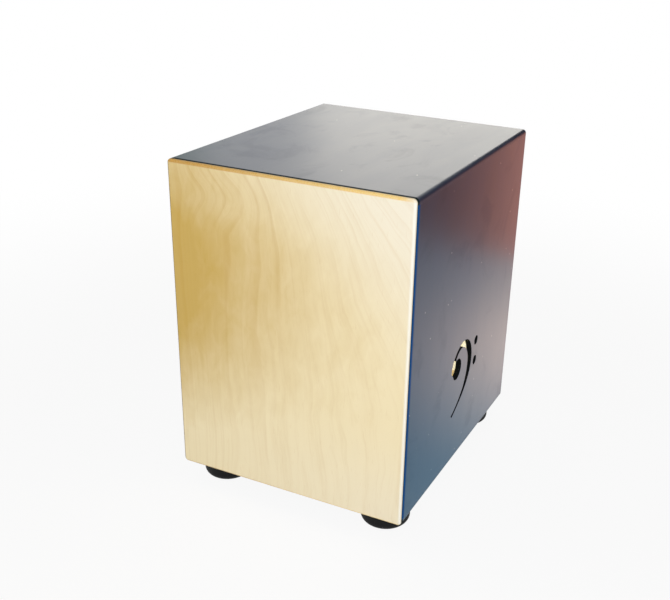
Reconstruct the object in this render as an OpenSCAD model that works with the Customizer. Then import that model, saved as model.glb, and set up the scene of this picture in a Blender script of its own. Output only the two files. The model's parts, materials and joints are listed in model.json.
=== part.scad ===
// Cajon: a box drum with a thin glued front plate (the tapa), a clef-shaped sound port in its
// right side, four rubber feet, and a string snare behind the tapa that is tuned from below.
// Origin: middle of the footprint, on the floor. +X is right seen from the front, +Y is to the
// back, +Z is up.

/* [Box] */
// Width of the box, side to side
body_w = 250; // [200:1:320]
// Depth of the box, from the face of the tapa to the back
body_d = 300; // [240:1:360]
// Height of the box without its feet
body_h = 325; // [260:1:480]
// Thickness of the top, bottom and side panels
wall_t = 6; // [5:0.5:12]
// Thickness of the tapa
tapa_t = 3; // [2:0.1:5]
// Thickness of the back panel
back_t = 4; // [3:0.5:8]
// Radius of the long edges, and of the corners of the tapa and the back panel
edge_r = 4; // [2.5:0.5:8]
// Radius of the tapa's rounded rim
tapa_rim_r = 2; // [0.5:0.25:3]
// Radius of the back panel's rounded rim
back_rim_r = 1; // [0.5:0.25:2]
// Width and depth of the square glue battens
batten = 15; // [12:0.5:22]

/* [Sound port] */
// Distance of the middle of the clef's arch behind the face of the tapa
port_y = 146; // [90:1:190]
// Height of the middle of the clef's arch above the underside of the box
port_z = 107; // [90:1:180]
// Height of the clef
clef_h = 80; // [40:1:100]
// Diameter of the two round dots
dot_d = 10.5; // [4:0.5:14]
// Gap between the clef's thick limb and the dots
dot_gap = 5.8; // [3:0.1:15]
// Distance between the middles of the dots
dot_pitch = 23.5; // [16:0.5:40]
// Height of the middle between the dots above the middle of the arch
dot_lift = 3; // [-10:0.1:10]

/* [Feet] */
// Diameter of a foot
foot_d = 50; // [36:1:58]
// Height of a foot
foot_h = 22; // [16:1:35]
// Radius of the rounding around a foot's lower edge
foot_round = 8; // [2:0.5:12]
// Distance from the side battens to the middle of a foot
foot_side_gap = 10.5; // [9:0.5:25]
// Distance from the front batten to the middle of a front foot
foot_front_gap = 17; // [9:0.5:40]
// Distance from the rear batten to the middle of a rear foot
foot_rear_gap = 14.5; // [9:0.5:40]
// Diameter of the screw recess in a foot
foot_recess_d = 13; // [12.5:0.5:18]
// Thickness of rubber above the screw recess
foot_base = 11; // [5:0.5:11]
// Least width of the flat ring that a foot rests on
foot_rest_w = 4; // [2:0.5:6]

/* [Fixings] */
// Thread diameter of the foot screws
foot_screw_d = 5; // [4:0.5:5]
// Diameter of a foot screw's head
foot_head_d = 9.5; // [8:0.5:10]
// Height of a foot screw's head
foot_head_h = 3.2; // [2.6:0.2:4]
// Width of a foot screw's hexagon socket across its flats
foot_socket_af = 3; // [2:0.5:4]
// Depth of a foot screw's hexagon socket
foot_socket_depth = 1.8; // [1:0.2:2]
// Length of a foot screw past its nut
foot_screw_spare = 1; // [0.5:0.5:6]
// Outer diameter of the washers inside the feet
foot_washer_d = 12; // [10:0.5:12]
// Outer diameter of the washers inside the box
inner_washer_d = 15; // [11:0.5:16]
// Thickness of all washers
washer_t = 1; // [0.5:0.1:1.5]
// Width of a foot nut across its flats
nut_af = 8; // [7:0.5:10]
// Height of a foot nut
nut_h = 4; // [3:0.5:6]
// Thread diameter of the bracket screws
bracket_screw_d = 3; // [2.5:0.5:4]
// Diameter of a bracket screw's head
bracket_head_d = 6; // [5:0.5:7]
// Height of a bracket screw's head
bracket_head_h = 2; // [1:0.2:3]
// Length of the bracket screws under the head
bracket_screw_l = 12; // [8:0.5:12]

/* [Snare] */
// Distance between the middles of the two pairs of strings
pair_spread = 100; // [60:1:130]
// Distance between the two strings of a pair
string_pitch = 16; // [12:0.5:24]
// Diameter of a string
string_d = 0.8; // [0.4:0.05:1.2]
// Distance from the back of the tapa to the middle of a string
string_setback = 1.5; // [1.4:0.1:3]
// Diameter of the ferrule crimped on each string end
ferrule_d = 2.2; // [1.6:0.1:2.2]
// Length of a ferrule
ferrule_l = 5; // [3:0.5:8]
// Thickness of the upper string brackets
bracket_t = 2; // [1.5:0.1:3]
// Distance from the upper batten down to a bracket's tab
bracket_drop = 14; // [10:0.5:25]
// Height of a bracket's leg on the back of the upper batten
bracket_leg = 12; // [9:0.5:12]
// Material of brackets and tension blocks outside the strings
string_margin = 6; // [4:0.5:10]
// Height of a tension block
block_h = 8; // [6:0.5:14]
// Height of a tuned tension block above the lower batten
block_lift = 16; // [10:0.5:40]
// Thread diameter of the tension bolts
bolt_d = 5; // [4:0.5:6]
// Thread pitch of the tension bolts
bolt_pitch = 0.8; // [0.5:0.05:1.25]
// Turns of a tension bolt from tuned to slack
slack_turns = 3; // [1:1:5]
// Length of bolt left above a slack block
bolt_spare = 2; // [1:0.5:8]
// Diameter of a tension bolt's head
bolt_head_d = 8.5; // [7:0.5:9.5]
// Height of a tension bolt's head
bolt_head_h = 5; // [4:0.5:6]
// Width of the tension bolts' hexagon socket across its flats
socket_af = 4; // [3:0.5:4]
// Depth of the hexagon socket
socket_depth = 2.5; // [1.5:0.5:3]
// Outer diameter of the washers under the tension bolts
bolt_washer_d = 10; // [9.5:0.5:12]

/* [Clearances] */
// Radial room of a screw in its hole
hole_gap = 0.3; // [0.2:0.05:0.5]
// Radial room of a thread in its nut, and of a string in its ferrule
fit_gap = 0.05; // [0.02:0.01:0.1]
// Room between the snare's metal pieces and the tapa
tapa_gap = 0.35; // [0.3:0.05:0.4]

/* [Hidden] */
$fn = 64;

// Colours of the materials
paint = [0.12, 0.14, 0.20];
birch = [0.90, 0.80, 0.60];
pine = [0.86, 0.72, 0.50];
rubber = [0.03, 0.03, 0.03];
steel = [0.75, 0.76, 0.78];
brass = [0.80, 0.65, 0.30];

// Overshoot of a cut past the face that it breaks through
over = 1;
// Least flat that a rounding leaves on the edge of its panel
min_flat = 0.5;

// Planes of the box
front_y = -body_d / 2;
inner_front = front_y + tapa_t;
inner_back = body_d / 2 - back_t;
inner_x = body_w / 2 - wall_t;
under_z = foot_h;
inner_bottom = under_z + wall_t;
top_z = under_z + body_h;
inner_top = top_z - wall_t;
shell_d = inner_back - inner_front;
rear_batten_y = inner_back - batten;
right_batten_x = inner_x - batten;
long_edge_r = min(edge_r, wall_t - min_flat);

// Places of the feet, as signs of x and y and as middles
foot_x = inner_x - batten - foot_side_gap;
foot_front_y = inner_front + batten + foot_front_gap;
foot_rear_y = inner_back - batten - foot_rear_gap;
foot_recess = foot_h - foot_base;
foot_spots = [for (x = [-foot_x, foot_x], y = [foot_front_y, foot_rear_y]) [x, y]];
foot_screw_l = washer_t + foot_base + wall_t + washer_t + nut_h + foot_screw_spare;
foot_edge_r = min(foot_round, foot_h - min_flat, (foot_d - foot_recess_d) / 2 - foot_rest_w);

// Planes of the snare
pair_x = pair_spread / 2;
string_y = inner_front + string_setback;
bolt_y = inner_front + batten / 2;
lower_batten_top = inner_bottom + batten;
upper_batten_under = inner_top - batten;
tab_z = upper_batten_under - bracket_drop;
string_top = tab_z + bracket_t + ferrule_l;
block_z = lower_batten_top + block_lift;
string_low = block_z - ferrule_l;
pair_w = string_pitch + 2 * string_margin;
bracket_bite = bracket_screw_l - bracket_t;
slack_travel = slack_turns * bolt_pitch;
bolt_head_top = inner_bottom - washer_t;
bolt_top = block_z + block_h + slack_travel + bolt_spare;

// Clef drawn for a height of 80, origin at the middle of its arch; u is to the back, v is up
clef_drawn_h = 80;
clef_scale = clef_h / clef_drawn_h;
clef_head = [-14.5, 3.5];
clef_head_r = 11.5;
clef_chin = [-19, -7];
limb_outer_u = 28.5;
limb_inner_u = 16.5;
outer_left = [[-29.5, 3.3], [-33, 17], [-15, 29.5], [0, 29.5]];
outer_right = [[0, 29.5], [16, 29.5], [limb_outer_u, 17], [limb_outer_u, 0]];
outer_tail = [[limb_outer_u, 0], [limb_outer_u, -23], [8, -37.5], [-21.5, -50.5]];
inner_tail = [[-24, -47.5], [2, -37.5], [limb_inner_u, -21], [limb_inner_u, 0]];
inner_right = [[limb_inner_u, 0], [limb_inner_u, 13], [6, 23.3], [-5, 23.3]];
inner_left = [[-5, 23.3], [-10, 23.3], [-14, 21], [-18.5, 16.3]];
curve_steps = 16;

// Point at t along a cubic curve with the four control points p
function bezier(p, t) =
    pow(1 - t, 3) * p[0] + 3 * pow(1 - t, 2) * t * p[1]
    + 3 * (1 - t) * t * t * p[2] + pow(t, 3) * p[3];
function curve(p) = [for (i = [0:curve_steps - 1]) bezier(p, i / curve_steps)];
// Diameter over the corners of a hexagon of a given width across its flats
function over_corners(af) = af / cos(30);

// Quarter of a disc
module quarter(r) {
    intersection() {
        circle(r);
        square(r);
    }
}

// Section of a strip from x = 0 to w, with its outer upper corner rounded
module rounded_end(w, t, r) {
    square([w, t - r]);
    square([w - r, t]);
    translate([w - r, t - r]) quarter(r);
}

// Section of a panel with both upper corners rounded
module rounded_strip(w, t, r) {
    rounded_end(w / 2, t, r);
    mirror([1, 0]) rounded_end(w / 2, t, r);
}

// Carries a section drawn in x and z from y0 back over a length
module along_y(y0, length) {
    translate([0, y0 + length, 0]) rotate([90, 0, 0]) linear_extrude(length) children();
}

// Carries a section drawn in y and z from x0 to the right over a length
module along_x(x0, length) {
    translate([x0, 0, 0]) rotate([90, 0, 90]) linear_extrude(length) children();
}

// Plate lying on z = 0 with round corners and a rounded upper rim
module rimmed_plate(w, h, t, corner_r, rim_r) {
    r = min(rim_r, t - min_flat, corner_r);
    straight_w = w - 2 * corner_r;
    straight_h = h - 2 * corner_r;
    along_y(-straight_h / 2, straight_h) rounded_strip(w, t, r);
    for (m = [0, 1]) mirror([0, m, 0]) {
        translate([0, straight_h / 2, 0])
            along_x(-straight_w / 2, straight_w) rounded_end(corner_r, t, r);
        for (n = [0, 1]) mirror([n, 0, 0])
            translate([straight_w / 2, straight_h / 2, 0])
                rotate_extrude(angle = 90) rounded_end(corner_r, t, r);
    }
}

// Square batten between two corners of the box's inside
module batten_between(low, high) {
    color(pine) translate(low) cube(high - low);
}

// Round washer standing on z = 0
module washer(outer_d, screw_d) {
    difference() {
        cylinder(d = outer_d, h = washer_t);
        translate([0, 0, -over]) cylinder(d = screw_d + 2 * hole_gap, h = washer_t + 2 * over);
    }
}

// Vertical hole for a screw, from z0 to z1
module screw_hole(d, z0, z1) {
    translate([0, 0, z0]) cylinder(d = d + 2 * hole_gap, h = z1 - z0);
}

module at_feet() {
    for (p = foot_spots) translate([p[0], p[1], 0]) children();
}

module at_pairs() {
    for (side = [-1, 1]) translate([side * pair_x, 0, 0]) children();
}

module at_strings(side) {
    for (s = [-1, 1]) translate([side * pair_x + s * string_pitch / 2, string_y, 0]) children();
}

// Slots that let the strings of a pair into a metal piece from its front edge
module string_slots(side, z0, z1) {
    slot_w = string_d + 2 * hole_gap;
    at_strings(side) translate([0, 0, z0]) {
        cylinder(d = slot_w, h = z1 - z0);
        translate([-slot_w / 2, -string_setback, 0]) cube([slot_w, string_setback, z1 - z0]);
    }
}

module clef_outline() {
    scale(clef_scale) {
        translate(clef_head) circle(clef_head_r);
        polygon(concat(
            curve(outer_left), curve(outer_right), curve(outer_tail), [outer_tail[3]],
            curve(inner_tail), curve(inner_right), curve(inner_left), [inner_left[3], clef_chin]
        ));
    }
    dot_u = limb_outer_u * clef_scale + dot_gap + dot_d / 2;
    for (s = [-1, 1]) translate([dot_u, dot_lift + s * dot_pitch / 2]) circle(d = dot_d);
}

module side_plate(x0) {
    translate([x0, inner_front, inner_bottom]) cube([wall_t, shell_d, inner_top - inner_bottom]);
}

module tapa() {
    color(birch) translate([0, inner_front, (under_z + top_z) / 2])
        rotate([90, 0, 0]) rimmed_plate(body_w, body_h, tapa_t, long_edge_r, tapa_rim_r);
}

module back_panel() {
    color(paint) translate([0, inner_back, (under_z + top_z) / 2])
        rotate([-90, 0, 0]) rimmed_plate(body_w, body_h, back_t, long_edge_r, back_rim_r);
}

module top_panel() {
    color(paint) translate([0, 0, inner_top])
        along_y(inner_front, shell_d) rounded_strip(body_w, wall_t, long_edge_r);
}

module bottom_panel() {
    color(paint) difference() {
        translate([0, 0, inner_bottom]) mirror([0, 0, 1])
            along_y(inner_front, shell_d) rounded_strip(body_w, wall_t, long_edge_r);
        at_feet() screw_hole(foot_screw_d, under_z - over, inner_bottom + over);
        at_pairs() translate([0, bolt_y, 0])
            screw_hole(bolt_washer_d, under_z - over, inner_bottom + over);
    }
}

module left_side_panel() {
    color(paint) side_plate(-body_w / 2);
}

module right_side_panel() {
    color(paint) difference() {
        side_plate(inner_x);
        translate([0, front_y + port_y, under_z + port_z])
            along_x(inner_x - over, wall_t + 2 * over) clef_outline();
    }
}

// Batten across the box, at one end and one level
module cross_batten(y0, z0) {
    batten_between([-inner_x, y0, z0], [inner_x, y0 + batten, z0 + batten]);
}

// Upright batten at one end, between the cross battens
module upright_batten(x0, y0) {
    batten_between([x0, y0, lower_batten_top], [x0 + batten, y0 + batten, upper_batten_under]);
}

// Long batten in one corner, between the front and rear frames
module corner_batten(x0, z0) {
    batten_between([x0, inner_front + batten, z0], [x0 + batten, inner_back - batten, z0 + batten]);
}

module front_top_batten() {
    difference() {
        cross_batten(inner_front, upper_batten_under);
        for (side = [-1, 1]) at_bracket_screws(side) translate([0, 0, -bracket_bite])
            cylinder(d = bracket_screw_d + 2 * fit_gap, h = bracket_bite + over);
    }
}

module front_bottom_batten() {
    difference() {
        cross_batten(inner_front, inner_bottom);
        at_pairs() translate([0, bolt_y, 0])
            screw_hole(bolt_d, inner_bottom - over, lower_batten_top + over);
    }
}

module foot() {
    color(rubber) rotate_extrude() difference() {
        translate([0, foot_h]) mirror([0, 1]) rounded_end(foot_d / 2, foot_h, foot_edge_r);
        square([foot_screw_d / 2 + hole_gap, foot_h]);
        square([foot_recess_d / 2, foot_recess]);
    }
}

module foot_at(x, y) {
    translate([x, y, 0]) foot();
}

module foot_washers() {
    color(steel) at_feet() translate([0, 0, foot_recess - washer_t])
        washer(foot_washer_d, foot_screw_d);
}

module foot_screws() {
    head_z = foot_recess - washer_t - foot_head_h;
    color(steel) at_feet() translate([0, 0, head_z]) {
        difference() {
            cylinder(d = foot_head_d, h = foot_head_h);
            translate([0, 0, -over])
                cylinder(d = over_corners(foot_socket_af), h = foot_socket_depth + over, $fn = 6);
        }
        translate([0, 0, foot_head_h]) cylinder(d = foot_screw_d, h = foot_screw_l);
    }
}

module foot_inner_washers() {
    color(steel) at_feet() translate([0, 0, inner_bottom]) washer(inner_washer_d, foot_screw_d);
}

module foot_nuts() {
    color(steel) at_feet() translate([0, 0, inner_bottom + washer_t]) difference() {
        cylinder(d = over_corners(nut_af), h = nut_h, $fn = 6);
        translate([0, 0, -over]) cylinder(d = foot_screw_d + 2 * fit_gap, h = nut_h + 2 * over);
    }
}

// Middles of the screws that hold a string bracket to the back of the upper batten
module at_bracket_screws(side) {
    for (s = [-1, 1])
        translate([side * pair_x + s * string_pitch / 2, inner_front + batten,
                   upper_batten_under + bracket_leg / 2])
            rotate([-90, 0, 0]) children();
}

module string_bracket(side) {
    color(steel) difference() {
        translate([0, inner_front, 0]) along_x(side * pair_x - pair_w / 2, pair_w) {
            translate([tapa_gap, tab_z]) square([batten + bracket_t - tapa_gap, bracket_t]);
            translate([batten, tab_z]) square([bracket_t, bracket_drop + bracket_leg]);
        }
        string_slots(side, tab_z - over, tab_z + bracket_t + over);
        at_bracket_screws(side) screw_hole(bracket_screw_d, -over, bracket_t + over);
    }
}

module bracket_screws() {
    color(steel) for (side = [-1, 1]) at_bracket_screws(side) translate([0, 0, bracket_t]) {
        cylinder(d = bracket_head_d, h = bracket_head_h);
        translate([0, 0, -bracket_screw_l]) cylinder(d = bracket_screw_d, h = bracket_screw_l);
    }
}

module ferrules(side, z0) {
    color(brass) at_strings(side) translate([0, 0, z0]) difference() {
        cylinder(d = ferrule_d, h = ferrule_l);
        translate([0, 0, -over]) cylinder(d = string_d + 2 * fit_gap, h = ferrule_l + 2 * over);
    }
}

module strings(side) {
    color(steel) at_strings(side) translate([0, 0, string_low])
        cylinder(d = string_d, h = string_top - string_low);
}

module tension_block(side) {
    color(brass) difference() {
        translate([side * pair_x - pair_w / 2, inner_front + tapa_gap, block_z])
            cube([pair_w, batten - 2 * tapa_gap, block_h]);
        string_slots(side, block_z - over, block_z + block_h + over);
        translate([side * pair_x, bolt_y, block_z - over])
            cylinder(d = bolt_d + 2 * fit_gap, h = block_h + 2 * over);
    }
}

module tension_bolt(side) {
    head_z = bolt_head_top - bolt_head_h;
    color(steel) translate([side * pair_x, bolt_y, 0]) difference() {
        union() {
            translate([0, 0, head_z]) cylinder(d = bolt_head_d, h = bolt_head_h);
            translate([0, 0, head_z]) cylinder(d = bolt_d, h = bolt_top - head_z);
        }
        translate([0, 0, head_z - over])
            cylinder(d = over_corners(socket_af), h = socket_depth + over, $fn = 6);
    }
}

module tension_washers() {
    color(steel) at_pairs() translate([0, bolt_y, bolt_head_top]) washer(bolt_washer_d, bolt_d);
}

tapa();
top_panel();
bottom_panel();
left_side_panel();
right_side_panel();
back_panel();
front_top_batten();
front_bottom_batten();
upright_batten(-inner_x, inner_front);  // front_left_batten
upright_batten(right_batten_x, inner_front);  // front_right_batten
cross_batten(rear_batten_y, upper_batten_under);  // rear_top_batten
cross_batten(rear_batten_y, inner_bottom);  // rear_bottom_batten
upright_batten(-inner_x, rear_batten_y);  // rear_left_batten
upright_batten(right_batten_x, rear_batten_y);  // rear_right_batten
corner_batten(-inner_x, upper_batten_under);  // top_left_batten
corner_batten(right_batten_x, upper_batten_under);  // top_right_batten
corner_batten(-inner_x, inner_bottom);  // bottom_left_batten
corner_batten(right_batten_x, inner_bottom);  // bottom_right_batten
foot_at(-foot_x, foot_front_y);  // front_left_foot
foot_at(foot_x, foot_front_y);  // front_right_foot
foot_at(-foot_x, foot_rear_y);  // rear_left_foot
foot_at(foot_x, foot_rear_y);  // rear_right_foot
foot_washers();
foot_screws();
foot_inner_washers();
foot_nuts();
string_bracket(-1);  // left_string_bracket
string_bracket(1);  // right_string_bracket
bracket_screws();
union() {  // upper_ferrules
    ferrules(-1, tab_z + bracket_t);
    ferrules(1, tab_z + bracket_t);
}
strings(-1);  // left_strings
strings(1);  // right_strings
ferrules(-1, string_low);  // left_lower_ferrules
ferrules(1, string_low);  // right_lower_ferrules
tension_block(-1);  // left_tension_block
tension_block(1);  // right_tension_block
tension_bolt(-1);  // left_tension_bolt
tension_bolt(1);  // right_tension_bolt
tension_washers();
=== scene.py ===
"""Looks of a small box drum: birch front plate, painted plywood shell, rubber feet and a string snare."""
import json
import logging
import math
from dataclasses import dataclass
from enum import Enum
from typing import Sequence, Union

import bmesh
import bpy
from mathutils import Matrix, Vector


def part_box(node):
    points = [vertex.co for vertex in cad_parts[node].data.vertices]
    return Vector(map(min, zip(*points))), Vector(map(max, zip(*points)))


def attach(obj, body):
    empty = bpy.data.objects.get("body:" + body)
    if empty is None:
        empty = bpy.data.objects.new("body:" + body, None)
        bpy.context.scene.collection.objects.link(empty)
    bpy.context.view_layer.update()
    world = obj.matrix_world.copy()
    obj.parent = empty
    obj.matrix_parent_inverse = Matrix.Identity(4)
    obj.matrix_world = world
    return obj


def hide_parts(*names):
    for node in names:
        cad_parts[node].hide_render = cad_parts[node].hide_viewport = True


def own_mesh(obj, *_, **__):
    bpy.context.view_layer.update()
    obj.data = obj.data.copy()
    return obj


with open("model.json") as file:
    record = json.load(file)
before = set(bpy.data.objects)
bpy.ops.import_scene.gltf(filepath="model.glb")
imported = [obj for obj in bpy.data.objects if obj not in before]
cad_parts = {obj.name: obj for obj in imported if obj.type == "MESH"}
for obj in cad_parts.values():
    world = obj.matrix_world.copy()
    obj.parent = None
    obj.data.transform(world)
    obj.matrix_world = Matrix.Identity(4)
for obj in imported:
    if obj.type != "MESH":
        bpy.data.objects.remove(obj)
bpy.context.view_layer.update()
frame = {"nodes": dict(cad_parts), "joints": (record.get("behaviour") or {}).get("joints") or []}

MM = 0.001
SHARP_EDGE = math.radians(35)
MERGE_DISTANCE = 1e-7
LEVEL_SLACK = 1e-6
PARALLEL = 0.999
SIDES = ("left", "right")
LOG = logging.getLogger("cajon")

Colour = tuple[float, float, float, float]
Triple = tuple[float, float, float]
Pair = tuple[float, float]
Value = Union["Sock", float, Sequence[float]]

WHITE: Colour = (1.0, 1.0, 1.0, 1.0)


def rgb(red: int, green: int, blue: int) -> Colour:
    """Turns a colour as seen on a screen, 0 to 255, into the linear colour that a shader takes.

    Args:
        red: Red part.
        green: Green part.
        blue: Blue part.

    Returns:
        The linear colour with full opacity.
    """
    def linear(part: int) -> float:
        """Straightens one part."""
        share = part / 255
        return share / 12.92 if share <= 0.04045 else ((share + 0.055) / 1.055) ** 2.4
    return linear(red), linear(green), linear(blue), 1.0


class Axis(Enum):
    """An axis of the shared frame, as its index in a vector."""

    X = 0
    Y = 1
    Z = 2

    def counts(self, across: float, along: float) -> list[float]:
        """Pattern lengths per metre of a grain that runs along this axis."""
        return [along if axis is self else across for axis in Axis]


class Sock:
    """A shader value that Python's own operators combine."""

    def __init__(self, graph: "Graph", socket: bpy.types.NodeSocket) -> None:
        """Wraps an output socket of a graph."""
        self.graph = graph
        self.socket = socket

    def maths(self, operation: str, *values: Value) -> "Sock":
        """Adds a Math node that works on the given values."""
        return self.graph.node("ShaderNodeMath", {"operation": operation}, dict(enumerate(values)))

    def __add__(self, other: Value) -> "Sock":
        """Sum of two values."""
        return self.maths("ADD", self, other)

    __radd__ = __add__

    def __sub__(self, other: Value) -> "Sock":
        """This value less another."""
        return self.maths("SUBTRACT", self, other)

    def __rsub__(self, other: Value) -> "Sock":
        """Another value less this one."""
        return self.maths("SUBTRACT", other, self)

    def __mul__(self, other: Value) -> "Sock":
        """Product of two values."""
        return self.maths("MULTIPLY", self, other)

    __rmul__ = __mul__

    def __pow__(self, power: float) -> "Sock":
        """This value to a power."""
        return self.maths("POWER", self, power)

    def __abs__(self) -> "Sock":
        """Size of this value without its sign."""
        return self.maths("ABSOLUTE", self)

    def least(self, other: Value) -> "Sock":
        """Smaller of two values."""
        return self.maths("MINIMUM", self, other)

    def most(self, other: Value) -> "Sock":
        """Larger of two values."""
        return self.maths("MAXIMUM", self, other)

    def fraction(self) -> "Sock":
        """Part of this value past its whole number."""
        return self.maths("FRACT", self)

    def ramp(self, low: float, high: float, to_low: float = 0.0, to_high: float = 1.0) -> "Sock":
        """Passes smoothly from one level to another while this value goes from low to high.

        Args:
            low: Where the passage starts.
            high: Where it ends.
            to_low: Level before it.
            to_high: Level after it.

        Returns:
            The passed level.
        """
        settings = {"interpolation_type": "SMOOTHSTEP"}
        inputs = {0: self, 1: low, 2: high, 3: to_low, 4: to_high}
        return self.graph.node("ShaderNodeMapRange", settings, inputs)


class Graph:
    """A tree of shader nodes."""

    def __init__(self, tree: bpy.types.NodeTree) -> None:
        """Takes a tree to add nodes to."""
        self.tree = tree

    def node(self, kind: str, settings: dict | None = None, inputs: dict | None = None,
             output: int = 0) -> Sock:
        """Adds one node.

        Args:
            kind: Type of the node.
            settings: Its properties, set before its sockets.
            inputs: Values or links of its input sockets, by index or name.
            output: Index of the output that is handed on.

        Returns:
            The wrapped output.
        """
        made = self.tree.nodes.new(kind)
        for name, setting in (settings or {}).items():
            setattr(made, name, setting)
        for key, value in (inputs or {}).items():
            self.feed(made.inputs[key], value)
        return Sock(self, made.outputs[output])

    def feed(self, socket: bpy.types.NodeSocket, value: Value) -> None:
        """Links a wrapped value to a socket, or sets a plain one on it.

        Args:
            socket: Input socket.
            value: What it takes.
        """
        if isinstance(value, Sock):
            self.tree.links.new(value.socket, socket)
        else:
            socket.default_value = value

    def place(self) -> Sock:
        """Object coordinates, which are metres in the shared frame."""
        return self.node("ShaderNodeTexCoord", output=3)

    def along(self, axis: Axis) -> Sock:
        """Object coordinate along one axis."""
        return self.node("ShaderNodeSeparateXYZ", inputs={0: self.place()}, output=axis.value)

    def stretched(self, per_metre: Sequence[float]) -> Sock:
        """Object coordinates counted in pattern lengths along each axis."""
        return self.node("ShaderNodeVectorMath", {"operation": "MULTIPLY"}, {0: self.place(), 1: per_metre})

    def cloud(self, where: Sock, detail: float = 2.0, rough: float = 0.5, warp: float = 0.0) -> Sock:
        """Cloudy pattern from 0 to 1, about one pattern length per unit.

        Args:
            where: Vector that the pattern is read at.
            detail: Octaves of finer cloud.
            rough: Weight of the finer clouds.
            warp: Distortion of the pattern by itself.

        Returns:
            The pattern.
        """
        inputs = {"Vector": where, "Scale": 1.0, "Detail": detail, "Roughness": rough, "Distortion": warp}
        return self.node("ShaderNodeTexNoise", {}, inputs)

    def noise(self, per_metre: Sequence[float], detail: float = 2.0, rough: float = 0.5,
              warp: float = 0.0) -> Sock:
        """Cloudy pattern in object coordinates, with so many pattern lengths per metre along each axis."""
        return self.cloud(self.stretched(per_metre), detail, rough, warp)

    def waver(self, reach: float, per_metre: Sequence[float], detail: float = 2.0, rough: float = 0.5,
              warp: float = 0.0) -> Sock:
        """The same pattern, but swinging about 0 by half of a reach to either side."""
        return (self.noise(per_metre, detail, rough, warp) - 0.5) * reach

    def vector(self, x: Value, y: Value, z: Value) -> Sock:
        """Vector of three values."""
        return self.node("ShaderNodeCombineXYZ", {}, {0: x, 1: y, 2: z})

    def specks(self, per_metre: float, reach: float, share: float) -> Sock:
        """Mask of scattered round specks.

        Args:
            per_metre: Cells per metre, with at most one speck in each.
            reach: Radius of a speck as a share of its cell.
            share: Share of the cells that hold a speck.

        Returns:
            The mask, 1 on a speck.
        """
        inputs = {"Vector": self.place(), "Scale": per_metre}
        near = self.node("ShaderNodeTexVoronoi", {}, inputs).ramp(reach * 0.5, reach, 1.0, 0.0)
        tint = self.node("ShaderNodeTexVoronoi", {}, inputs, output=1)
        return near * self.node("ShaderNodeSeparateColor", {}, {0: tint}).ramp(1 - share, 1 - share + 0.01)

    def mix(self, share: Value, first: Value, second: Value) -> Sock:
        """Colour between two colours.

        Args:
            share: How much of the second colour is taken.
            first: Colour at 0.
            second: Colour at 1.

        Returns:
            The mixed colour.
        """
        return self.node("ShaderNodeMix", {"data_type": "RGBA"}, {0: share, 6: first, 7: second}, output=2)

    def bump(self, height: Sock, depth: float) -> Sock:
        """Normal of a surface with the given relief, as deep as depth in metres."""
        return self.node("ShaderNodeBump", {}, {"Strength": 1.0, "Distance": depth, "Height": height})


class Surface(Graph):
    """A material, made of a Principled shader and what feeds it."""

    def __init__(self, name: str) -> None:
        """Starts a material with a bare Principled shader.

        Args:
            name: Name of the material.
        """
        self.material = bpy.data.materials.new(name)
        self.material.use_nodes = True
        super().__init__(self.material.node_tree)
        self.shader = self.tree.nodes["Principled BSDF"]

    def dress(self, sockets: dict[str, Value]) -> bpy.types.Material:
        """Feeds the shader's own sockets.

        Args:
            sockets: Values of the sockets by their names.

        Returns:
            The material.
        """
        for name, value in sockets.items():
            self.feed(self.shader.inputs[name], value)
        return self.material

    def show(self, shader: Sock) -> bpy.types.Material:
        """Shows another shader in place of the Principled one and hands the material over."""
        self.feed(self.tree.nodes["Material Output"].inputs["Surface"], shader)
        return self.material


@dataclass(frozen=True)
class FaceTone:
    """Colour of the birch face: golden at the left middle, pale to the right and to both ends. The rise to
    pale towards the right is partly the veneer's tone and partly painted light falling from the right, and
    the white mixed in towards the right is a painted glare.

    Spans and places are shares of the face's width from the left and of its height from the top. The
    left edge has a paleness of its own, which rises to the right, levels off, and rises again to the ends.
    """

    pale: Colour = rgb(244, 228, 187)
    golden: Colour = rgb(204, 171, 90)
    white: Colour = rgb(244, 236, 217)
    left: float = -0.22
    rise: float = 1.82
    levelling: float = 0.6
    patch_down: float = 0.285
    end_rise: float = 4.5
    end_rise_lost: float = 4.1
    foot: Pair = (0.6, 0.9)
    foot_share: float = 0.75
    head: Pair = (0.10, 0.24)
    head_share: float = 0.22
    drift: float = 0.35
    drift_counts: Triple = (9, 0, 3)
    mottle: float = 0.45
    mottle_counts: Triple = (70, 0, 34)
    glare_across: float = 0.8
    glare_down: float = -1.2
    glare: Pair = (0.08, 0.84)
    low_glare: Pair = (0.65, 1.0)
    low_glare_share: float = 0.5

    def make(self, graph: Graph, across: Sock, down: Sock) -> Sock:
        """Mixes the colour.

        Args:
            graph: Material that takes the nodes.
            across: Share of the width.
            down: Share of the height.

        Returns:
            The colour.
        """
        ends = (self.end_rise - across * self.end_rise_lost) * (down - self.patch_down) ** 2
        ends = ends * down.ramp(*self.foot, 1.0, self.foot_share)
        # Painted light: the face grows paler towards the right, where the light falls from.
        paleness = across * (self.rise - across * self.levelling) + self.left + ends
        paleness = paleness + (1 - across) * down.ramp(*self.head, self.head_share, 0.0)
        paleness = paleness + graph.waver(self.drift, self.drift_counts)
        paleness = paleness + graph.waver(self.mottle, self.mottle_counts, detail=3, rough=0.6, warp=0.6)
        # Painted glare: white mixed in towards the right.
        shine = (across * self.glare_across + down * self.glare_down).ramp(*self.glare)
        shine = shine + down.ramp(*self.low_glare) * across * self.low_glare_share
        return graph.mix(shine, graph.mix(paleness, self.golden, self.pale), self.white)


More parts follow.
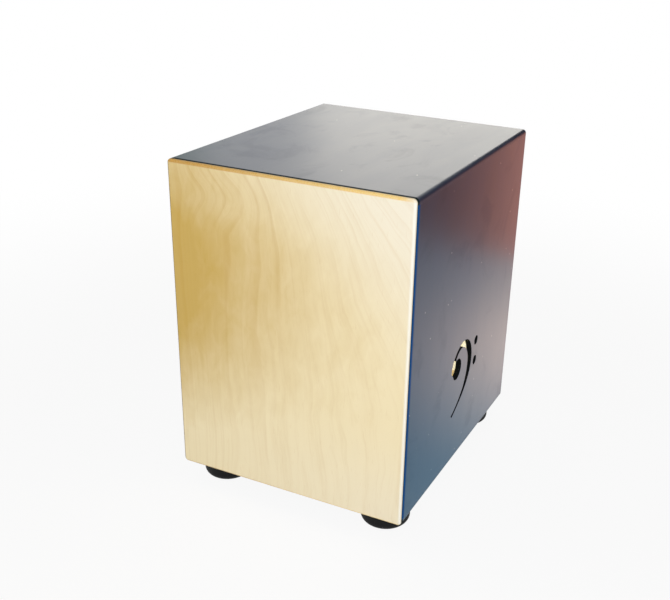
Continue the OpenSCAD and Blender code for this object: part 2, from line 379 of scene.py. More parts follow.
@dataclass(frozen=True)
class PlyRim:
    """Rounded rim of the birch plate: the cut plies, their glue lines, the paint lapped on to them, a painted
    shade on the left and a painted highlight on the right.

    The foot and the left have a narrow band, the head and the right a wide one: the foot and the head show
    the cut plies, the left is a painted shade and the right a painted highlight. A band is full at its inset
    from the edge and gone at its width.
    """

    low: Vector
    high: Vector
    amber: Colour = rgb(194, 140, 44)
    honey: Colour = rgb(242, 200, 98)
    # Painted shade of the left rim.
    shaded: Colour = rgb(112, 84, 42)
    # Painted highlight of the right rim.
    wear_and_highlight: Colour = rgb(253, 249, 238)
    glue: Colour = rgb(120, 84, 40)
    lap: Colour = rgb(10, 32, 34)
    narrow: float = 2.2 * MM
    wide: float = 3.6 * MM
    inset: float = 1.54 * MM
    near_inset: float = 0.924 * MM
    head_inset: float = 2.52 * MM
    lap_depth: float = 1.4 * MM
    lap_inset: float = 1.12 * MM
    highlight_corner: float = 16 * MM
    band_under_highlight: float = 0.25
    shaded_share: float = 0.85
    highlight_share: float = 0.8
    foot_share: float = 0.6
    core_share: float = 0.3
    glue_share: float = 0.4
    plies: int = 3
    ply_blur: float = 0.05
    seam: Pair = (0.03, 0.09)
    grit_counts: Triple = (900, 900, 900)
    grit_low: float = 0.65

    def lapped(self, graph: Graph) -> Sock:
        """Mask of the rim's hind part, where the paint of the shell laps on to it."""
        return (graph.along(Axis.Y) - self.high.y).ramp(-self.lap_depth, -self.lap_inset)

    def make(self, graph: Graph, face: Sock) -> Sock:
        """Adds the rim's colours to the face's colour.

        Args:
            graph: Material that takes the nodes.
            face: Colour of the face.

        Returns:
            The colour of face and rim.
        """
        across, depth, upright = (graph.along(axis) for axis in Axis)
        from_left, from_right = across - self.low.x, self.high.x - across
        foot = (upright - self.low.z).ramp(self.inset, self.narrow, 1, 0)
        head = (upright - self.high.z).ramp(-self.wide, -self.head_inset)
        near = from_left.ramp(self.near_inset, self.narrow, 1, 0)
        far = (across - self.high.x).ramp(-self.wide, -self.inset)
        layer = (depth - self.low.y) * (self.plies / (self.high.y - self.low.y))
        core = layer.ramp(1 - self.ply_blur, 1 + self.ply_blur)
        core = core * layer.ramp(2 - self.ply_blur, 2 + self.ply_blur, 1, 0)
        grit = graph.noise(self.grit_counts).ramp(0.3, 0.8, self.grit_low, 1.0)
        # Painted shade: the left rim darker, turned away from the light.
        tone = graph.mix(near * self.shaded_share, face, self.shaded)
        # Painted highlight: the right rim pale where the light catches it.
        tone = graph.mix(far * self.highlight_share, tone, self.wear_and_highlight)
        # The head's band gives way to the painted highlight at the right corner.
        head = head * from_right.ramp(0.0, self.highlight_corner, self.band_under_highlight, 1.0)
        edge = graph.mix(from_left.ramp(0.0, self.high.x - self.low.x), self.amber, self.honey)
        tone = graph.mix((head + foot * self.foot_share) * (1 - core * self.core_share) * grit, tone, edge)
        tone = graph.mix(far * core * grit * self.core_share, tone, edge)
        seams = abs(layer - 1).ramp(*self.seam, 1, 0) + abs(layer - 2).ramp(*self.seam, 1, 0)
        tone = graph.mix(seams * self.glue_share, tone, self.glue)
        return graph.mix(self.lapped(graph), tone, self.lap)


@dataclass(frozen=True)
class BirchVeneer:
    """Satin-lacquered birch ply with a leaning figure that bends round a knot."""

    low: Vector
    high: Vector
    face: FaceTone = FaceTone()
    ring: Colour = rgb(190, 142, 34)
    fibre: Colour = rgb(204, 170, 106)
    lean_from: float = 60 * MM
    lean: float = 2.0
    lean_span: Pair = (-120 * MM, 220 * MM)
    knot_reach: float = 17 * MM
    knot_drop: float = 28 * MM
    knot_end: float = 66 * MM
    knot_middle: float = 48 * MM
    knot_side: float = 75 * MM
    sway: float = 22 * MM
    sway_counts: Triple = (7, 0, 5)
    ripple: float = 3.5 * MM
    ripple_counts: Triple = (45, 0, 22)
    ring_pitch: float = 12 * MM
    ring_uneven: float = 1.6
    ring_share: float = 0.25
    line_pitch: float = 3.7 * MM
    line_uneven: float = 2.2
    line_share: float = 0.08
    spacing_count: float = 0.45
    soft_side: Pair = (0.55, 0.94)
    strength: Pair = (0.1, 1.0)
    strength_span: Pair = (0.35, 0.65)
    strength_counts: Pair = (0.8, 6)
    fade_down: Pair = (80 * MM, 260 * MM)
    fade_across: Pair = (30 * MM, 200 * MM)
    faded_down: float = 0.28
    faded_across: float = 0.34
    fibre_counts: Pair = (700, 12)
    fibre_share: float = 0.14
    fleck_counts: Triple = (1100, 1100, 75)
    fleck_share: float = 0.14
    rough: Pair = (0.40, 0.52)
    lap_dulling: float = 0.6
    specular: float = 0.45
    relief: float = 0.015 * MM

    def corner_places(self, graph: Graph) -> tuple[Sock, Sock]:
        """Metres from the left edge, and metres down from the upper edge."""
        return graph.along(Axis.X) - self.low.x, self.high.z - graph.along(Axis.Z)

    def grain_place(self, graph: Graph) -> Sock:
        """Place across the grain, whose lines lean to the right and bend round a knot at the upper left.

        Args:
            graph: Material that takes the nodes.

        Returns:
            Metres across the grain, the same all along one line of it.
        """
        across, drop = self.corner_places(graph)
        straight = across.least(self.lean_from)
        fan = 1 + drop.ramp(*self.lean_span) * self.lean
        beside = across.ramp(self.knot_middle, self.knot_middle + self.knot_side, 1, 0)
        beside = across.ramp(0.0, self.knot_middle) * beside
        bend = drop.ramp(0.0, self.knot_drop) * drop.ramp(self.knot_drop, self.knot_end, 1, 0) * beside
        place = straight + (across - straight) * fan ** -1 - bend * self.knot_reach
        place = place + graph.waver(self.sway, self.sway_counts, detail=1)
        return place + graph.waver(self.ripple, self.ripple_counts)

    def lines(self, graph: Graph, place: Sock, pitch: float, uneven: float) -> Sock:
        """Growth lines with a soft and a sharp side, unevenly spaced and unequally strong.

        Args:
            graph: Material that takes the nodes.
            place: Metres across the grain.
            pitch: Mean distance between lines.
            uneven: How far the spacing wanders, in lines.

        Returns:
            The mask of the lines.
        """
        count = place * (1 / pitch)
        spacing = graph.cloud(graph.vector(count * self.spacing_count, 0.5, 0.5), detail=1)
        count = count + spacing * uneven
        turn = count.fraction()
        per_line, per_metre = self.strength_counts
        stretch = graph.vector(count * per_line, 7.5, graph.along(Axis.Z) * per_metre)
        strong = graph.cloud(stretch, detail=1).ramp(*self.strength_span, *self.strength)
        return turn.ramp(*self.soft_side) * turn.ramp(self.soft_side[1], 1.0, 1, 0) * strong

    def make(self) -> bpy.types.Material:
        """Builds the material.

        Returns:
            The finished birch.
        """
        graph = Surface("birch_veneer")
        rim = PlyRim(self.low, self.high)
        across, drop = self.corner_places(graph)
        width, height = self.high.x - self.low.x, self.high.z - self.low.z
        tone = self.face.make(graph, across * (1 / width), drop * (1 / height))
        grain = self.grain_place(graph)
        rings = self.lines(graph, grain, self.ring_pitch, self.ring_uneven)
        fine = self.lines(graph, grain, self.line_pitch, self.line_uneven)
        fade = drop.ramp(*self.fade_down, 1.0, self.faded_down)
        fade = fade * across.ramp(*self.fade_across, 1.0, self.faded_across)
        tone = graph.mix((rings * self.ring_share + fine * self.line_share) * fade, tone, self.ring)
        cross, along = self.fibre_counts
        stretch = graph.vector(grain * cross, 0.5, graph.along(Axis.Z) * along)
        fibres = graph.cloud(stretch, detail=3, rough=0.6)
        tone = graph.mix(fibres.ramp(0.45, 0.75) * self.fibre_share, tone, self.fibre)
        flecks = graph.noise(self.fleck_counts, detail=1).ramp(0.66, 0.74)
        tone = graph.mix(flecks * self.fleck_share, tone, self.ring)
        return graph.dress({
            "Base Color": rim.make(graph, tone),
            "Roughness": fibres.ramp(0.2, 0.8, *self.rough) + rim.lapped(graph) * self.lap_dulling,
            "Normal": graph.bump(fibres * 0.6 + flecks * -0.4 + rings * -0.2, self.relief),
            "Specular IOR Level": self.specular,
        })


@dataclass(frozen=True)
class SatinPaint:
    """Blue-black satin paint rolled on plywood, with bare ply inside and sealed black cuts through it."""

    name: str
    grain: Axis
    facing: Axis
    inner: float
    outer: float
    front: float
    dark: Colour = rgb(26, 37, 57)
    light: Colour = rgb(38, 51, 75)
    strip: Colour = rgb(6, 24, 24)
    cut: Colour = rgb(2, 3, 3)
    dust: Colour = rgb(226, 220, 214)
    bare: Colour = rgb(253, 246, 228)
    bare_grain: Colour = rgb(242, 226, 190)
    skin: float = 0.02 * MM
    cut_depth: float = 0.0
    strip_w: float = 4.0 * MM
    coat_rough: float = 0.33
    rough: Pair = (0.33, 0.41)
    matt: float = 0.9
    specular: float = 0.1
    relief: float = 0.012 * MM
    cloud_counts: Triple = (6, 6, 6)
    wipe_counts: Pair = (34, 9)
    grain_counts: Pair = (520, 9)
    grain_share: float = 0.3
    smudge_counts: Triple = (16, 11, 11)
    smudge_share: float = 0.16
    specks_per_metre: float = 60
    speck_reach: float = 0.06
    speck_cells: float = 0.55
    speck_share: float = 0.75

    def make(self) -> bpy.types.Material:
        """Builds the material.

        Returns:
            The finished paint.
        """
        graph = Surface(self.name)
        cloud = graph.noise(self.cloud_counts, detail=4, rough=0.6)
        wipes = graph.noise(self.grain.counts(*self.wipe_counts), detail=4, rough=0.6, warp=0.8)
        smudges = graph.noise(self.smudge_counts, detail=5, rough=0.6, warp=1.6).ramp(0.52, 0.68)
        grain = graph.noise(self.grain.counts(*self.grain_counts), detail=3, rough=0.6)
        paint = graph.mix((cloud * 0.6 + wipes * 0.4).ramp(0.3, 0.7), self.dark, self.light)
        paint = graph.mix(grain.ramp(0.5, 0.8) * self.grain_share, paint, self.dark)
        strip = (graph.along(Axis.Y) - self.front).ramp(self.strip_w * 0.3, self.strip_w, 1.0, 0.0)
        paint = graph.mix(strip, paint, self.strip)
        specks = graph.specks(self.specks_per_metre, self.speck_reach, self.speck_cells)
        paint = graph.mix(specks * self.speck_share, paint, self.dust)
        bare = graph.mix(grain.ramp(0.35, 0.75), self.bare, self.bare_grain)
        past = abs(graph.along(self.facing) - self.inner)
        painted = outside = past.ramp(self.skin * 0.5, self.skin)
        if self.cut_depth:
            thick = abs(self.outer - self.inner)
            outside = past.ramp(thick - self.cut_depth, thick - self.cut_depth * 0.5)
        sheen = outside * (1 - strip)
        gloss = (wipes * 0.6 + cloud * 0.3 + grain * 0.1).ramp(0.3, 0.7, *self.rough) + specks * 0.2
        return graph.dress({
            "Base Color": graph.mix(painted, bare, graph.mix(outside, self.cut, paint)),
            "Roughness": gloss * sheen + (1 - sheen) * self.matt,
            "Normal": graph.bump(grain, self.relief),
            "Specular IOR Level": self.specular,
            "Coat Weight": sheen * (1 - smudges * self.smudge_share),
            "Coat Roughness": self.coat_rough,
        })


@dataclass(frozen=True)
class PlanedPine:
    """Bare planed pine with its grain along one axis."""

    name: str
    grain: Axis
    early: Colour = rgb(240, 214, 166)
    late: Colour = rgb(204, 160, 102)
    ring_counts: Pair = (55, 4)
    rings_per_length: float = 11
    ring_share: float = 0.55
    fibre_counts: Pair = (800, 22)
    fibre_share: float = 0.3
    rough: Pair = (0.58, 0.74)
    relief: float = 0.05 * MM

    def make(self) -> bpy.types.Material:
        """Builds the material.

        Returns:
            The finished pine.
        """
        graph = Surface(self.name)
        field = graph.noise(self.grain.counts(*self.ring_counts), warp=0.6)
        rings = (field * self.rings_per_length).fraction().ramp(0.2, 1.0)
        fibres = graph.noise(self.grain.counts(*self.fibre_counts))
        tone = graph.mix(rings * self.ring_share, self.early, self.late)
        tone = graph.mix(fibres.ramp(0.5, 0.8) * self.fibre_share, tone, self.late)
        return graph.dress({
            "Base Color": tone,
            "Roughness": fibres.ramp(0.2, 0.8, *self.rough),
            "Normal": graph.bump(fibres * 0.5 + rings * 0.5, self.relief),
        })


@dataclass(frozen=True)
class MouldedRubber:
    """Matt black moulded rubber with a fine mould texture and a little bloom."""

    name: str = "moulded_rubber"
    black: Colour = rgb(8, 9, 9)
    wear_and_highlight: Colour = rgb(17, 17, 18)
    # Lighter bloom and wear of the rubber.
    pore_counts: Triple = (1500, 1500, 1500)
    bloom_counts: Triple = (70, 70, 70)
    bloom_share: float = 0.6
    rough: Pair = (0.48, 0.66)
    specular: float = 0.2
    relief: float = 0.05 * MM

    def make(self) -> bpy.types.Material:
        """Builds the material.

        Returns:
            The finished rubber.
        """
        graph = Surface(self.name)
        pores = graph.noise(self.pore_counts)
        bloom = graph.noise(self.bloom_counts, detail=3, rough=0.6)
        return graph.dress({
            "Base Color": graph.mix(bloom.ramp(0.45, 0.8) * self.bloom_share, self.black, self.wear_and_highlight),
            "Roughness": (pores * 0.5 + bloom * 0.5).ramp(0.3, 0.7, *self.rough),
            "Normal": graph.bump(pores, self.relief),
            "Specular IOR Level": self.specular,
        })


@dataclass(frozen=True)
class TurnedMetal:
    """Bare or plated metal with fine turning or drawing marks."""

    name: str
    bright: Colour
    dull: Colour
    smooth: float
    rougher: float = 0.2
    mark_counts: Triple = (300, 300, 1800)
    stain_counts: Triple = (120, 120, 120)
    relief: float = 0.01 * MM

    def make(self) -> bpy.types.Material:
        """Builds the material.

        Returns:
            The finished metal.
        """
        graph = Surface(self.name)
        marks = graph.noise(self.mark_counts)
        stain = graph.noise(self.stain_counts, detail=3, rough=0.6)
        wear = marks * 0.6 + stain * 0.4
        return graph.dress({
            "Base Color": graph.mix(stain.ramp(0.35, 0.75), self.bright, self.dull),
            "Metallic": 1.0,
            "Roughness": wear.ramp(0.25, 0.75, self.smooth, self.smooth + self.rougher),
            "Normal": graph.bump(marks, self.relief),
        })


@dataclass(frozen=True)
class WoundString:
    """Steel string with a fine wire wound round it."""

    wire: float = 0.25 * MM
    bright: Colour = rgb(206, 206, 204)
    painted_groove_shade: Colour = rgb(96, 94, 92)
    rough: Pair = (0.5, 0.28)
    relief: float = 0.06 * MM

    def make(self) -> bpy.types.Material:
        """Builds the material.

        Returns:
            The finished string.
        """
        graph = Surface("wound_string")
        turns = abs((graph.along(Axis.Z) * (1 / self.wire)).fraction() - 0.5) * 2
        crown = 1 - turns ** 2
        return graph.dress({
            # Painted shade: darker in the grooves between the turns of wire.
            "Base Color": graph.mix(crown.ramp(0.1, 0.6), self.painted_groove_shade, self.bright),
            "Metallic": 1.0,
            "Roughness": crown.ramp(0.0, 1.0, *self.rough),
            "Normal": graph.bump(crown, self.relief),
        })


def finish_mesh(name: str, shape: bmesh.types.BMesh, material: bpy.types.Material) -> bpy.types.Object:
    """Turns a shape into a smooth-shaded piece that sits at the origin.

    Args:
        name: Name of the piece.
        shape: Shape in the shared frame, freed here.
        material: Its finish.

    Returns:
        The linked object.
    """
    bmesh.ops.remove_doubles(shape, verts=shape.verts, dist=MERGE_DISTANCE)
    bmesh.ops.recalc_face_normals(shape, faces=shape.faces)
    for face in shape.faces:
        face.smooth = True
    for edge in shape.edges:
        edge.smooth = len(edge.link_faces) == 2 and edge.calc_face_angle(0.0) < SHARP_EDGE
    mesh = bpy.data.meshes.new(name)
    shape.to_mesh(mesh)
    shape.free()
    mesh.materials.append(material)
    piece = bpy.data.objects.new(name, mesh)
    bpy.context.scene.collection.objects.link(piece)
    return piece


def even_shading(piece: bpy.types.Object) -> None:
    """Keeps flat faces flat beside their rounded edges."""
    weights = piece.modifiers.new("even_shading", "WEIGHTED_NORMAL")
    weights.keep_sharp = True


def seat(piece: bpy.types.Object, body: str, slot: str, *nodes: str) -> bpy.types.Object:
    """Lets a piece ride on a body in place of CAD nodes.

    Args:
        piece: Finished piece.
        body: Body that carries it.
        slot: Material slot of the record; not used.
        nodes: CAD nodes that it stands for.

    Returns:
        The same piece.
    """
    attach(piece, body)
    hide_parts(*nodes)
    return piece


def coat(node: str, material: bpy.types.Material) -> None:
    """Gives a CAD node a finish.

    Args:
        node: Name of the node.
        material: Its finish.
    """
    mesh_object = frame["nodes"][node]
    if not mesh_object.material_slots:
        mesh_object.data.materials.append(material)
    for holder in mesh_object.material_slots:
        holder.material = material


def block_between(low: Vector, high: Vector) -> bmesh.types.BMesh:
    """Cuboid between two corners.

    Args:
        low: Lowest corner.
        high: Highest corner.

    Returns:
        The shape.
    """
    shape = bmesh.new()
    place = Matrix.Translation((low + high) / 2) @ Matrix.Diagonal((*(high - low), 1.0))
    bmesh.ops.create_cube(shape, size=1.0, matrix=place)
    return shape


def round_edges(shape: bmesh.types.BMesh, edges: list[bmesh.types.BMEdge], radius: float, steps: int) -> None:
    """Rounds edges of a shape.

    Args:
        shape: Shape that is changed.
        edges: Its edges to round.
        radius: Radius of the rounding.
        steps: Faces across it.
    """
    bmesh.ops.bevel(shape, geom=edges, offset=radius, offset_type="OFFSET", segments=steps, profile=0.5,
                    affect="EDGES", material=-1, clamp_overlap=True)


def runs_along(edge: bmesh.types.BMEdge, axis: Axis) -> bool:
    """Whether an edge is parallel to an axis."""
    run = (edge.verts[1].co - edge.verts[0].co).normalized()
    return abs(run[axis.value]) > PARALLEL


def lies_at(edge: bmesh.types.BMEdge, axis: Axis, level: float) -> bool:
    """Whether both ends of an edge lie at a level along an axis."""
    return all(abs(end.co[axis.value] - level) < LEVEL_SLACK for end in edge.verts)


@dataclass
class EndPlate:
    """A thin plate on one end of the box, with round corners and a rounded outer rim."""

    node: str
    slot: str
    corner: float
    rim: float
    outer_low: bool
    corner_steps: int = 10
    rim_steps: int = 8

    def build(self, material: bpy.types.Material) -> bpy.types.Object:
        """Models the plate and sets it in place of its node.

        Args:
            material: Finish of the plate.

        Returns:
            The plate.
        """
        low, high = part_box(self.node)
        shape = block_between(low, high)
        round_edges(shape, [e for e in shape.edges if runs_along(e, Axis.Y)], self.corner, self.corner_steps)
        level = low.y if self.outer_low else high.y
        round_edges(shape, [e for e in shape.edges if lies_at(e, Axis.Y, level)], self.rim, self.rim_steps)
        plate = finish_mesh(f"{self.node}_plate", shape, material)
        even_shading(plate)
        return seat(plate, "box", self.slot, self.node)


@dataclass
class PaintedShell:
    """Top, bottom, sides and back of the box in satin paint."""

    edge: float = 4.0 * MM
    back_rim: float = 1.0 * MM
    edge_steps: int = 10
    slot: str = "painted_ply"
    port_lip: float = 0.3 * MM
    port_strip: Colour = rgb(0, 84, 154)
    port_strip_w: float = 6.5 * MM
    port_coat_rough: float = 0.28

    def paint(self, node: str, grain: Axis, facing: Axis, outward: int,
              **special: float | Colour) -> bpy.types.Material:
        """Paint for one panel, bare on the face that looks into the box.

        Args:
            node: CAD node of the panel.
            grain: Axis of its face grain.
            facing: Axis across the panel.
            outward: Sign of the way out of the box along that axis.
            special: Other fields of the paint that this panel sets for itself.

        Returns:
            The finish.
        """
        low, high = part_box(node)
        inner, outer = (end[facing.value] for end in ((low, high) if outward > 0 else (high, low)))
        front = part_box("tapa")[1].y
        return SatinPaint(f"paint_{node}", grain, facing, inner, outer, front, **special).make()

    def build_top(self) -> bpy.types.Object:
        """Models the seat with its two rounded long edges.

        Returns:
            The seat.
        """
        low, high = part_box("top_panel")
        shape = block_between(low, high)
        rims = [e for e in shape.edges if runs_along(e, Axis.Y) and lies_at(e, Axis.Z, high.z)]
        round_edges(shape, rims, self.edge, self.edge_steps)
        top = finish_mesh("seat_panel", shape, self.paint("top_panel", Axis.Y, Axis.Z, 1))
        even_shading(top)
        return seat(top, "box", self.slot, "top_panel")

    def dress(self) -> None:
        """Paints the panels that keep their CAD shape."""
        coat("left_side_panel", self.paint("left_side_panel", Axis.Z, Axis.X, -1))
        coat("right_side_panel", self.paint("right_side_panel", Axis.Z, Axis.X, 1, cut_depth=self.port_lip,
                                            strip=self.port_strip, strip_w=self.port_strip_w,
                                            coat_rough=self.port_coat_rough))
        coat("bottom_panel", self.paint("bottom_panel", Axis.Y, Axis.Z, -1))

    def build(self) -> list[bpy.types.Object]:
        """Builds and paints the shell.

        Returns:
            The new pieces.
        """
        self.dress()
        back = EndPlate("back_panel", self.slot, corner=self.edge, rim=self.back_rim, outer_low=False)
        return [self.build_top(), back.build(self.paint("back_panel", Axis.Z, Axis.Y, 1))]


@dataclass
class Frame:
    """The twelve glue battens inside the box."""

    suffix: str = "_batten"

    def dress(self) -> int:
        """Gives each batten pine with its grain along the batten.

        Returns:
            How many battens were dressed.
        """
        finishes = {axis: PlanedPine(f"planed_pine_{axis.name.lower()}", axis).make() for axis in Axis}
        battens = [name for name in frame["nodes"] if name.endswith(self.suffix)]
        for name in battens:
            low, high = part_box(name)
            spans = list(high - low)
            coat(name, finishes[Axis(spans.index(max(spans)))])
        return len(battens)


@dataclass
class RubberFoot:
    """One moulded foot: a flange under the box, a rounded lower edge and a recess for its screw."""

    node: str
    rounding: float = 8.0 * MM
    recess_r: float = 6.5 * MM
    recess_h: float = 11.0 * MM
    bore_r: float = 2.8 * MM
    flange_h: float = 3.0 * MM
    groove: float = 0.6 * MM
    tread: float = 0.8 * MM
    turns: int = 72
    arc_steps: int = 12

    def outline(self, shape: bmesh.types.BMesh, radius: float, height: float) -> list[bmesh.types.BMEdge]:
        """Draws half of the foot's section, from the bore down and round to the top.

        Args:
            shape: Shape that takes the outline.
            radius: Outer radius.
            height: Height of the foot.

        Returns:
            The outline's edges.
        """
        rest = radius - self.rounding
        middle = (self.recess_r + rest) / 2
        under = height - self.flange_h
        points = [
            (self.bore_r, height), (self.bore_r, self.recess_h), (self.recess_r, self.recess_h),
            (self.recess_r, 0), (middle - self.tread, 0), (middle, self.tread), (middle + self.tread, 0),
            (radius, 0), (radius, under - self.groove), (radius - self.groove, under),
            (radius, under + self.groove), (radius, height),
        ]
        corner = points.index((radius, 0))
        ends = [shape.verts.new((x, 0, z)) for x, z in points]
        for first, second in zip(ends, ends[1:] + ends[:1]):
            shape.edges.new((first, second))
        bmesh.ops.bevel(shape, geom=[ends[corner]], offset=self.rounding, offset_type="OFFSET",
                        segments=self.arc_steps, profile=0.5, affect="VERTICES", material=-1,
                        clamp_overlap=False)
        return list(shape.edges)

    def build(self, material: bpy.types.Material) -> bpy.types.Object:
        """Turns the section into a foot and sets it in place of its node.

        Args:
            material: Finish of the foot.

        Returns:
            The foot.
        """
        low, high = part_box(self.node)
        shape = bmesh.new()
        edges = self.outline(shape, (high.x - low.x) / 2, high.z - low.z)
        bmesh.ops.spin(shape, geom=list(shape.verts) + edges, cent=(0, 0, 0), axis=(0, 0, 1), dvec=(0, 0, 0),
                       angle=math.tau, steps=self.turns, use_merge=True, use_duplicate=False)
        middle = (low + high) / 2
        bmesh.ops.translate(shape, verts=shape.verts, vec=(middle.x, middle.y, low.z))
        foot = finish_mesh(f"{self.node}_rubber", shape, material)
        return seat(foot, "box", "foot_rubber", self.node)


@dataclass
class Snare:
    """Two pairs of strings behind the front plate, with their brackets, blocks and bolts."""

    string_sides: int = 12
    string_rings: int = 24

    def build_strings(self, side: str, material: bpy.types.Material) -> bpy.types.Object:
        """Models one pair of strings.

        Args:
            side: Left or right.
            material: Finish of the strings.

        Returns:
            The pair.
        """
        node = f"{side}_strings"
        low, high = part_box(node)
        radius = (high.y - low.y) / 2
        length = high.z - low.z
        shape = bmesh.new()
        for x in (low.x + radius, high.x - radius):
            place = Matrix.Translation((x, low.y + radius, (low.z + high.z) / 2))
            bmesh.ops.create_cone(shape, cap_ends=True, segments=self.string_sides, radius1=radius,
                                  radius2=radius, depth=length, matrix=place)
        upright = [e for e in shape.edges if runs_along(e, Axis.Z)]
        bmesh.ops.subdivide_edges(shape, edges=upright, cuts=self.string_rings)
        pair = finish_mesh(f"{side}_snare_strings", shape, material)
        seat(pair, "box", "string_steel", node)
        joint = next(j for j in frame["joints"] if j["name"] == f"{side}_block_slide")
        travel = max(joint["range_m"])
        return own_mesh(pair, joint["name"], axis=(0, 0, 1), anchor=tuple(high), keep=1 - travel / length)

    def dress(self) -> None:
        """Finishes the metal pieces that keep their CAD shape."""
        zinc = TurnedMetal("bright_zinc", rgb(206, 208, 212), rgb(168, 172, 178), smooth=0.24).make()
        brass = TurnedMetal("machined_brass", rgb(214, 178, 102), rgb(178, 138, 70), smooth=0.26).make()
        oxide = TurnedMetal("black_oxide", rgb(62, 62, 66), rgb(40, 40, 44), smooth=0.34).make()
        for name in ("foot_washers", "foot_screws", "foot_inner_washers", "foot_nuts", "bracket_screws",
                     "left_string_bracket", "right_string_bracket", "tension_washers"):
            coat(name, zinc)
        coat("upper_ferrules", brass)
        for side in SIDES:
            coat(f"{side}_lower_ferrules", brass)
            coat(f"{side}_tension_block", brass)
            coat(f"{side}_tension_bolt", oxide)

    def build(self) -> list[bpy.types.Object]:
        """Builds the strings and finishes the rest.

        Returns:
            The two pairs of strings.
        """
        self.dress()
        finish = WoundString().make()
        return [self.build_strings(side, finish) for side in SIDES]


@dataclass(frozen=True)
class SoftLight:
    """A rectangular lamp, unseen by the camera, and the point that it aims at."""

    name: str
    place: Triple
    width: float
    height: float
    power: float
    aim: Triple = (0.0, 0.0, 0.18)
    colour: Triple = (1.0, 1.0, 1.0)

    def build(self) -> bpy.types.Object:
        """Hangs the lamp.

        Returns:
            The lamp.
        """
        lamp = bpy.data.lights.new(self.name, "AREA")
        lamp.shape = "RECTANGLE"
        lamp.size, lamp.size_y = self.width, self.height
        lamp.energy = self.power
        lamp.color = self.colour
        hung = bpy.data.objects.new(self.name, lamp)
        hung.location = self.place
        hung.rotation_euler = (Vector(self.aim) - Vector(self.place)).to_track_quat("-Z", "Y").to_euler()
        hung.visible_camera = False
        bpy.context.scene.collection.objects.link(hung)
        return hung


class BoardLight(Enum):
    """Light that a board gives off, as a linear colour that may be brighter than white."""

    NONE = (0.0, 0.0, 0.0, 1.0)
    WARM = (1.66, 0.74, 0.57, 1.0)
    DARK = (0.02, 0.012, 0.012, 1.0)
    NIGHT = (0.15, 0.28, 0.43, 1.0)
    GREY = (0.28, 0.40, 0.33, 1.0)
    BLUE = (0.35, 0.57, 0.75, 1.0)
    BRIGHT = (1.74, 1.45, 1.33, 1.0)


@dataclass(frozen=True)
class MirroredCard:
    """A board that only glossy finishes mirror.

    Its colour is shaded along one axis and its light along another. Each span gives where the shading
    starts and ends along its axis.
    """

    name: str
    low: Triple
    high: Triple
    start: BoardLight
    end: BoardLight
    along: Axis = Axis.X
    span: Pair = (0.0, 1.0)
    dim_along: Axis = Axis.Z
    dim_span: Pair = (0.0, 1.0)
    dim_to: float = 1.0
    unlit: BoardLight = BoardLight.NONE

    def build(self) -> bpy.types.Object:
        """Sets the board up.

        Returns:
            The board.
        """
        graph = Surface(self.name)
        shade = graph.mix(graph.along(self.along).ramp(*self.span), self.start.value, self.end.value)
        light = graph.along(self.dim_along).ramp(*self.dim_span, 1.0, self.dim_to)
        glow = graph.node("ShaderNodeEmission", {}, {"Color": graph.mix(light, self.unlit.value, shade)})
        shape = block_between(Vector(self.low), Vector(self.high))
        board = finish_mesh(self.name, shape, graph.show(glow))
        board.visible_camera = False
        board.visible_diffuse = False
        board.visible_shadow = False
        return board


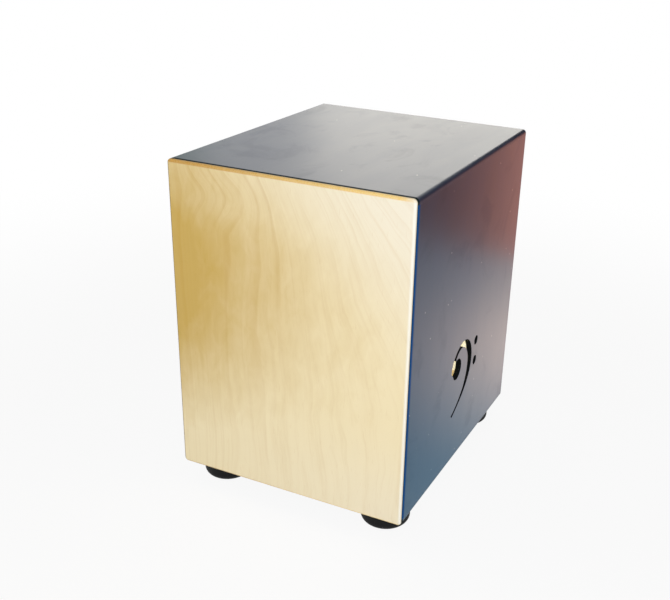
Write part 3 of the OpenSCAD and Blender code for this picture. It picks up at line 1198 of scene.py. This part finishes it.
@dataclass
class Studio:
    """White floor and sky, lamps round the box and in it, boards that the paint mirrors, and the camera."""

    floor_r: float = 12.0
    floor_sides: int = 64
    floor_white: Colour = (0.9, 0.9, 0.9, 1.0)
    floor_glow: float = 0.9
    mirror_glow: float = 0.5
    shadow_r: float = 0.35
    glow_r: float = 1.2
    sky_light: float = 0.27
    azimuth: float = 24.8916
    elevation: float = 24.6873
    roll: float = 1.8475
    distance: float = 1.01643
    aside: float = 0.01445
    lift: float = -0.0396
    focal: float = 51.137
    sensor: float = 36.0
    shift_x: float = -0.05315
    shift_y: float = 0.04536
    lamps: tuple[SoftLight, ...] = (
        SoftLight("key_lamp", (0.696, -1.661, 0.984), width=0.04, height=0.04, power=20.5),
        SoftLight("fill_lamp", (-1.6, -1.0, 1.2), width=1.4, height=1.2, power=1.2,
                  colour=(1.0, 0.97, 0.92)),
        SoftLight("back_lamp", (-0.45, 2.1, 0.80), width=1.4, height=0.9, power=4.3,
                  aim=(0.0, 0.0, 0.34), colour=(1.0, 0.94, 0.80)),
        SoftLight("inner_lamp", (0.0, -0.08, 0.22), width=0.06, height=0.06, power=0.29,
                  aim=(0.06, 0.146, 0.06), colour=(0.84, 0.98, 1.0)),
    )
    boards: tuple[MirroredCard, ...] = (
        MirroredCard("back_card", (0.05, 0.68, 0.0), (1.30, 0.70, 0.75), BoardLight.WARM, BoardLight.DARK,
                     span=(0.22, 0.385), dim_span=(0.33, 0.37), dim_to=0.02),
        MirroredCard("left_card", (-2.75, 1.5, 0.0), (-1.30, 1.52, 1.3), BoardLight.GREY, BoardLight.GREY),
        MirroredCard("floor_board", (0.13, -0.20, 0.001), (0.60, 0.68, 0.003), BoardLight.BLUE,
                     BoardLight.BRIGHT, along=Axis.Y, span=(-0.04, 0.39), dim_along=Axis.X,
                     dim_span=(0.15, 0.36), dim_to=0.11, unlit=BoardLight.NIGHT),
    )

    def rays(self, graph: Graph) -> tuple[Sock, Sock]:
        """Masks of the rays that look at the background.

        Args:
            graph: Tree that takes the nodes.

        Returns:
            The camera's own rays, and the mirrored and passing rays.
        """
        camera = graph.node("ShaderNodeLightPath")
        kinds = camera.socket.node.outputs
        glossy, passing = Sock(graph, kinds["Is Glossy Ray"]), Sock(graph, kinds["Is Transmission Ray"])
        return camera, glossy.most(passing)

    def build_floor(self) -> bpy.types.Object:
        """Lays a white floor that keeps the box's soft shadow.

        Returns:
            The floor.
        """
        shape = bmesh.new()
        bmesh.ops.create_circle(shape, cap_ends=True, segments=self.floor_sides, radius=self.floor_r)
        graph = Surface("studio_floor")
        graph.dress({"Base Color": self.floor_white, "Roughness": 1.0, "Specular IOR Level": 0.0})
        glow = graph.node("ShaderNodeEmission", {}, {"Color": WHITE, "Strength": 1.0})
        matt = Sock(graph, graph.shader.outputs[0])
        away = graph.node("ShaderNodeVectorMath", {"operation": "LENGTH"}, {0: graph.place()}, output=1)
        camera, mirrored = self.rays(graph)
        share = camera * away.ramp(self.shadow_r, self.glow_r, self.floor_glow, 1.0)
        share = share + mirrored * away.ramp(self.shadow_r, self.glow_r, self.mirror_glow, 1.0)
        both = graph.node("ShaderNodeMixShader", {}, {0: share, 1: matt, 2: glow})
        floor = finish_mesh("studio_floor", shape, graph.show(both))
        return floor

    def build_sky(self) -> None:
        """Makes the surroundings white to look at and gentle as a light."""
        world = bpy.data.worlds.new("studio_sky")
        bpy.context.scene.world = world
        world.use_nodes = True
        graph = Graph(world.node_tree)
        background = graph.tree.nodes["Background"]
        background.inputs["Color"].default_value = WHITE
        camera, mirrored = self.rays(graph)
        graph.feed(background.inputs["Strength"], (camera + mirrored).ramp(0, 1, self.sky_light, 1.0))

    def build_camera(self) -> bpy.types.Object:
        """Sets the camera at the picture's viewing angle.

        Returns:
            The camera.
        """
        low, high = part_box("tapa")
        _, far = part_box("back_panel")
        centre = Vector((0.0, (low.y + far.y) / 2, (low.z + high.z) / 2))
        turn, rise, tilt = (math.radians(a) for a in (self.azimuth, self.elevation, self.roll))
        back = Vector((math.sin(turn) * math.cos(rise), -math.cos(turn) * math.cos(rise), math.sin(rise)))
        level = Vector((math.cos(turn), math.sin(turn), 0.0))
        upright = back.cross(level)
        right = level * math.cos(tilt) + upright * math.sin(tilt)
        up = upright * math.cos(tilt) - level * math.sin(tilt)
        lens = bpy.data.cameras.new("picture_camera")
        lens.sensor_width = self.sensor
        lens.lens = self.focal
        lens.shift_x, lens.shift_y = self.shift_x, self.shift_y
        camera = bpy.data.objects.new("picture_camera", lens)
        place = centre + back * self.distance + right * self.aside + up * self.lift
        camera.matrix_world = Matrix.Translation(place) @ Matrix((right, up, back)).transposed().to_4x4()
        bpy.context.scene.collection.objects.link(camera)
        bpy.context.scene.camera = camera
        return camera

    def build(self) -> None:
        """Sets up the whole studio."""
        bpy.context.scene.view_settings.view_transform = "Standard"
        self.build_floor()
        self.build_sky()
        for fitting in self.lamps + self.boards:
            fitting.build()
        self.build_camera()


def main() -> None:
    """Builds the drum piece by piece, then the studio round it."""
    logging.basicConfig(level=logging.INFO, format="%(name)s: %(message)s")
    tapa = EndPlate("tapa", "birch_tapa", corner=4.0 * MM, rim=2.0 * MM, outer_low=True)
    pieces = [tapa.build(BirchVeneer(*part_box("tapa")).make())]
    pieces += PaintedShell().build()
    LOG.info("%d battens dressed", Frame().dress())
    rubber = MouldedRubber().make()
    feet = [f"{end}_{side}_foot" for end in ("front", "rear") for side in SIDES]
    pieces += [RubberFoot(node).build(rubber) for node in feet]
    pieces += Snare().build()
    for piece in pieces:
        LOG.info("%s: %d faces", piece.name, len(piece.data.polygons))
    Studio().build()


if __name__ == "__main__":
    main()
